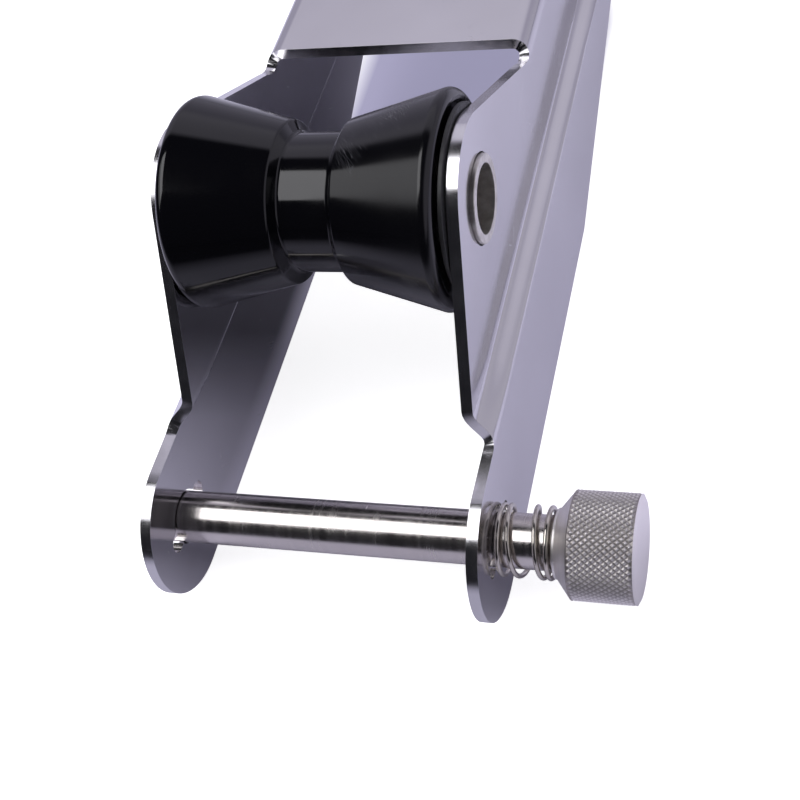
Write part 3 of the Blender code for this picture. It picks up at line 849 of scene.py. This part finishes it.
TUBE_HALF = 34.85
TUBE_RADIUS = 9.5
TUBE_BORE = 7.45
WASHER_STARTS = (("left", -31.1), ("right", 30.1))
WASHER_THICK = 1
WASHER_BORE = 9.9
WASHER_RADIUS = 20.1
GROOVE_RADIUS = 15.2
GROOVE_HALF = 5.6
CONE_START = (7.1, 17.9)        # from the roller's middle, and radius
RIM_INSET = 0.85
RIM_RADIUS = 24.0
END_RADIUS = 21.9
RECESS_RADIUS = 21.0
RECESS_DEPTH = 1.3
ROLLER_BORE = 10.4
SKIN_RADIUS = 20                # at which the skin map has its true size


def make_axle_tube():
    tube = turn("axle_sleeve", [(-TUBE_HALF, TUBE_BORE, 0.15), (-TUBE_HALF, TUBE_RADIUS, 0.35),
                                (TUBE_HALF, TUBE_RADIUS, 0.35), (TUBE_HALF, TUBE_BORE, 0.15)],
                (0, AXLE_Y, AXLE_Z))
    tube.data.materials.append(bore_finish())
    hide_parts("axle_tube")
    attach(tube, "bracket")


def make_washers():
    nylon = washer_finish()
    for name, start in WASHER_STARTS:
        end = start + WASHER_THICK
        washer = turn(name + "_washer", [(start, WASHER_BORE, 0.1), (start, WASHER_RADIUS, 0.2),
                                         (end, WASHER_RADIUS, 0.2), (end, WASHER_BORE, 0.1)],
                      (0, AXLE_Y, AXLE_Z), steps=96)
        washer.data.materials.append(nylon)
        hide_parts("side_washer_" + name)
        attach(washer, "bracket")


def make_roller():
    """Hourglass roller. Its skin map runs along the roller and round it."""
    low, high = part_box("roller")
    centre = (low + high) / 2
    half = (high.x - low.x) / 2 / MM
    floor = half - RECESS_DEPTH
    right = [(GROOVE_HALF, GROOVE_RADIUS, 0.9), (*CONE_START, 0.9), (half - RIM_INSET, RIM_RADIUS, 2.0),
             (half, END_RADIUS, 0.3), (half, RECESS_RADIUS, 0.15), (floor, RECESS_RADIUS, 0.3),
             (floor, ROLLER_BORE + 1, 0.2), (floor - 1, ROLLER_BORE, 0)]
    left = [(-place, radius, rounding) for place, radius, rounding in reversed(right)]
    roller = turn("roller_body", left + right, centre, steps=160)
    skin = roller.data.uv_layers.new(name="skin")
    for face in roller.data.polygons:
        angles = []
        for index in face.vertices:
            out = roller.data.vertices[index].co - centre
            angles.append(math.atan2(out.z, out.y))
        wrapped = max(angles) - min(angles) > math.pi
        for loop, index, angle in zip(face.loop_indices, face.vertices, angles):
            if wrapped and angle < 0:
                angle += math.tau
            skin.data[loop].uv = (roller.data.vertices[index].co.x, angle * SKIN_RADIUS * MM)
    roller.data.materials.append(roller_finish())
    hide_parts("roller")
    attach(roller, "roller")


# Retaining pin, cross pin, knob and spring, in millimetres along the pin from the channel's middle

PIN_AT = Vector((0, EAR_Y, EAR_Z))
PIN_TIP = -44.9
PIN_SHOULDER = 50.9
PIN_RADIUS = 6
PIN_CHAMFER = 0.8
SPIGOT_RADIUS = 4
SPIGOT_END = 61.9
CROSS_AT = PIN_AT + Vector((-40.7 * MM, 0, 0))
CROSS_HOLE_RADIUS = 2.15
CROSS_RADIUS = 2
CROSS_HALF = 9                  # half the cross pin's length
CROSS_BODY_HALF = 8.4           # of which this much is between the chamfers


def make_pin():
    """Bar with a chamfered tip, a hole for the cross pin, and a spigot that goes into the knob."""
    steel = turned_finish("polished_pin_steel", (0.74, 0.70, 0.67), 0.21, 900, 0.0007)
    pin = turn("pin_bar", [(PIN_TIP, 0, 0), (PIN_TIP, PIN_RADIUS - PIN_CHAMFER, 0.3),
                           (PIN_TIP + PIN_CHAMFER, PIN_RADIUS, 0.4), (PIN_SHOULDER, PIN_RADIUS, 0.2),
                           (PIN_SHOULDER, SPIGOT_RADIUS, 0.2), (SPIGOT_END, SPIGOT_RADIUS, 0.3),
                           (SPIGOT_END, 0, 0)], PIN_AT, ring=False)
    cut_with(pin, drill("cross_hole", CROSS_HOLE_RADIUS * MM, CROSS_AT, 20 * MM, 64))
    smooth(pin)
    flat_faces_lead(pin)
    pin.data.materials.clear()
    pin.data.materials.append(steel)
    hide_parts("retaining_pin")
    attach(pin, "pin")


def make_cross_pin():
    top = [(CROSS_BODY_HALF, CROSS_RADIUS, 0.4), (CROSS_HALF, CROSS_RADIUS - 0.5, 0.4),
           (CROSS_HALF, 0, 0)]
    bottom = [(-place, radius, rounding) for place, radius, rounding in reversed(top)]
    cross = turn("cross_bar", bottom + top, CROSS_AT, along=(0, 0, 1), out=(0, 1, 0), steps=64,
                 ring=False)
    steel = turned_finish("cross_pin_steel", (0.62, 0.60, 0.58), 0.2, 900, 0.002, axis=(0, 0, 1))
    cross.data.materials.append(steel)
    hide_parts("cross_pin")
    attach(cross, "pin")


KNURL_COLUMNS = 54
KNURL_ROWS = 17
KNURL_TIP = 11.8                # radius
KNURL_ROOT = 11.42
KNURL_TIP_FLAT = 0.16
KNURL_FINISH_FROM = 11.2        # radius from which faces get the knurled finish
KNOB_START = 51.2
KNOB_LENGTH = 17.9
KNURL_START = KNOB_START + 3.8
KNURL_END = KNOB_START + KNOB_LENGTH - 0.5
# Rings that the knurl's two ends are drawn out through, as (step along the pin, radius)
KNOB_FACE = ((0.0, 11.7), (0.14, 11.3), (0.26, 10.9), (0.06, 10.5), (0.0, 6.5), (0.0, 3.0),
             (0.0, 0.6))
KNOB_NECK = ((0.0, 11.75), (0.12, 11.6), (3.03, 7.72), (0.15, 7.6), (0.38, 7.6), (0.12, 7.48),
             (0.0, 4.3))
KNOB_BORE = ((11.0, 4.3),)


def widen(by, centre):
    """Scale the selection about the knob's axis."""
    bpy.ops.transform.resize(value=(1, by, by), center_override=centre)


def draw_out(side, rings, start, centre):
    """Extrude the selected end face of this radius through the rings, towards one side."""
    before = start
    for step, radius in rings:
        bpy.ops.mesh.extrude_region_move(TRANSFORM_OT_translate={"value": (side * step * MM, 0, 0)})
        widen(radius / before, centre)
        before = radius


def make_knob():
    """One cylinder, cut into rings for the knurl, with its ends drawn out to the face and the neck."""
    length = (KNURL_END - KNURL_START) * MM
    start_x = KNURL_START * MM
    centre = PIN_AT + Vector(((KNURL_START + KNURL_END) / 2 * MM, 0, 0))
    bpy.ops.object.select_all(action="DESELECT")
    bpy.ops.mesh.primitive_cylinder_add(vertices=2 * KNURL_COLUMNS, radius=KNURL_ROOT * MM,
                                        depth=length, location=centre,
                                        rotation=(0, math.pi / 2, 0))
    knob = bpy.context.object
    knob.name = "knob_body"
    settle(knob)
    open_up(knob)
    for row in range(1, KNURL_ROWS):
        bpy.ops.mesh.select_all(action="SELECT")
        bpy.ops.mesh.bisect(plane_co=(start_x + length * row / KNURL_ROWS, 0, 0), plane_no=(1, 0, 0),
                            threshold=TOUCHING)

    def tip(vert):
        """Every other point of every ring but the two ends, offset from ring to ring."""
        row = round((vert.co.x - start_x) / length * KNURL_ROWS)
        out = vert.co - PIN_AT
        column = round(math.atan2(out.z, out.y) / math.tau * 2 * KNURL_COLUMNS)
        return 0 < row < KNURL_ROWS and (row + column) % 2 == 0

    pick(knob, "verts", tip)
    widen(KNURL_TIP / KNURL_ROOT, centre)
    pick(knob, "faces", lambda f: len(f.verts) == 4)
    bpy.ops.mesh.quads_convert_to_tris(quad_method="SHORTEST_DIAGONAL")
    pick(knob, "verts", lambda v: (v.co - PIN_AT).yz.length > (KNURL_TIP - 0.02) * MM)
    bpy.ops.mesh.bevel(offset=KNURL_TIP_FLAT * MM, offset_type="OFFSET", segments=1,
                       affect="VERTICES")
    pick(knob, "faces", lambda f: len(f.verts) > 20 and f.normal.x > 0.5)
    draw_out(1, KNOB_FACE, KNURL_ROOT, centre)
    pick(knob, "faces", lambda f: len(f.verts) > 20 and f.normal.x < -0.5)
    draw_out(-1, KNOB_NECK, KNURL_ROOT, centre)
    draw_out(1, KNOB_BORE, KNOB_NECK[-1][1], centre)
    close_outwards(merge=True)
    smooth(knob, 25)
    plain = turned_finish("turned_knob_steel", (0.93, 0.90, 0.88), 0.42, 1100, 0.004)
    knob.data.materials.append(plain)
    knob.data.materials.append(knurl_finish())
    for face in knob.data.polygons:
        inside = (KNURL_START - 0.01) * MM < face.center.x < (KNURL_END + 0.01) * MM
        outer = (face.center - PIN_AT).yz.length > KNURL_FINISH_FROM * MM and abs(face.normal.x) < 0.9
        if inside and outer:
            face.material_index = 1
            face.use_smooth = False
    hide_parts("knob")
    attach(knob, "pin")


def knurl_finish():
    """Bright on the knurl's tips, and dull and darker in its grooves."""
    finish = Finish("knurled_steel", (0.68, 0.65, 0.63), 0.24, 1.0)
    grime = finish.noise(finish.places((500, 500, 500)), detail=3)
    _, y, z = finish.split(finish.places(centre=(0, EAR_Y, EAR_Z)))
    squares = finish.maths("ADD", finish.maths("POWER", y, 2.0), finish.maths("POWER", z, 2.0))
    reach = finish.maths("SQRT", squares)
    height = finish.spread(reach, 0.0, 1.0, 11.45 * MM, 11.75 * MM)
    finish.colour(finish.tones(height, (0.0, (0.50, 0.47, 0.46)), (0.5, (0.86, 0.83, 0.81)),
                               (1.0, (0.96, 0.93, 0.92))))
    finish.rough(finish.maths("ADD", finish.spread(height, 0.46, 0.34, 0.0, 1.0),
                              finish.spread(grime, -0.04, 0.08)))
    finish.bump((grime, 0.01, 0.3),)
    return finish.material


SPRING_START = 39.25
# Spans of the wire, as (turns, advance)
SPRING_SPANS = ((1.0, 1.25), (0.35, 1.4), (0.75, 4.75), (0.5, 2.05), (0.5, 1.15), (0.6, 0.5))
SPRING_MEAN = 7.5               # radius to the wire's middle
SPRING_WIRE = 1.1
SPRING_SIDES = 14
SPRING_STEPS = 64               # per turn
SCREW_ADVANCE = 10 * MM         # of the Screw modifier, taken out again by make_spring


def coil_place(turns):
    """Place of the wire's middle along the pin after so many turns. The end turns lie close."""
    place = SPRING_START
    for span, advance in SPRING_SPANS:
        share = min(turns / span, 1.0)
        place += advance * share
        turns -= span * share
    return place


def make_spring():
    """Round wire wound with a Screw modifier, whose turns are then moved to their own pitches."""
    turns = sum(span for span, _ in SPRING_SPANS)
    bpy.ops.object.select_all(action="DESELECT")
    bpy.ops.mesh.primitive_circle_add(vertices=SPRING_SIDES, radius=SPRING_WIRE / 2 * MM,
                                      fill_type="NOTHING", location=(0, SPRING_MEAN * MM, 0))
    coil = bpy.context.object
    coil.name = "coil_spring"
    settle(coil)
    screw = coil.modifiers.new("wound", "SCREW")
    screw.axis = "X"
    screw.angle = math.tau * turns
    screw.screw_offset = SCREW_ADVANCE
    screw.steps = round(SPRING_STEPS * turns)
    screw.render_steps = screw.steps
    screw.use_merge_vertices = False
    finish_modifiers(coil)
    mesh = coil.data
    last = len(mesh.vertices) // SPRING_SIDES - 1
    for vert in mesh.vertices:
        share = vert.index // SPRING_SIDES / last
        vert.co.x += coil_place(turns * share) * MM - SCREW_ADVANCE * share
    mesh.transform(Matrix.Translation((0, EAR_Y, EAR_Z)))
    open_up(coil)
    pick(coil, "edges", lambda e: e.is_boundary)
    bpy.ops.mesh.edge_face_add()
    close_outwards()
    smooth(coil, 40)
    coil.data.materials.append(spring_finish())
    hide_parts("spring")
    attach(coil, "pin_spring")
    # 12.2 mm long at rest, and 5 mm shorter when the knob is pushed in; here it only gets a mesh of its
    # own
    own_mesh(coil)


def main():
    bpy.context.scene.view_settings.view_transform = "Standard"
    make_camera()
    make_room()
    make_lamps()
    make_floor()
    make_channel()
    make_axle_tube()
    make_washers()
    make_roller()
    make_pin()
    make_cross_pin()
    make_knob()
    make_spring()


main()
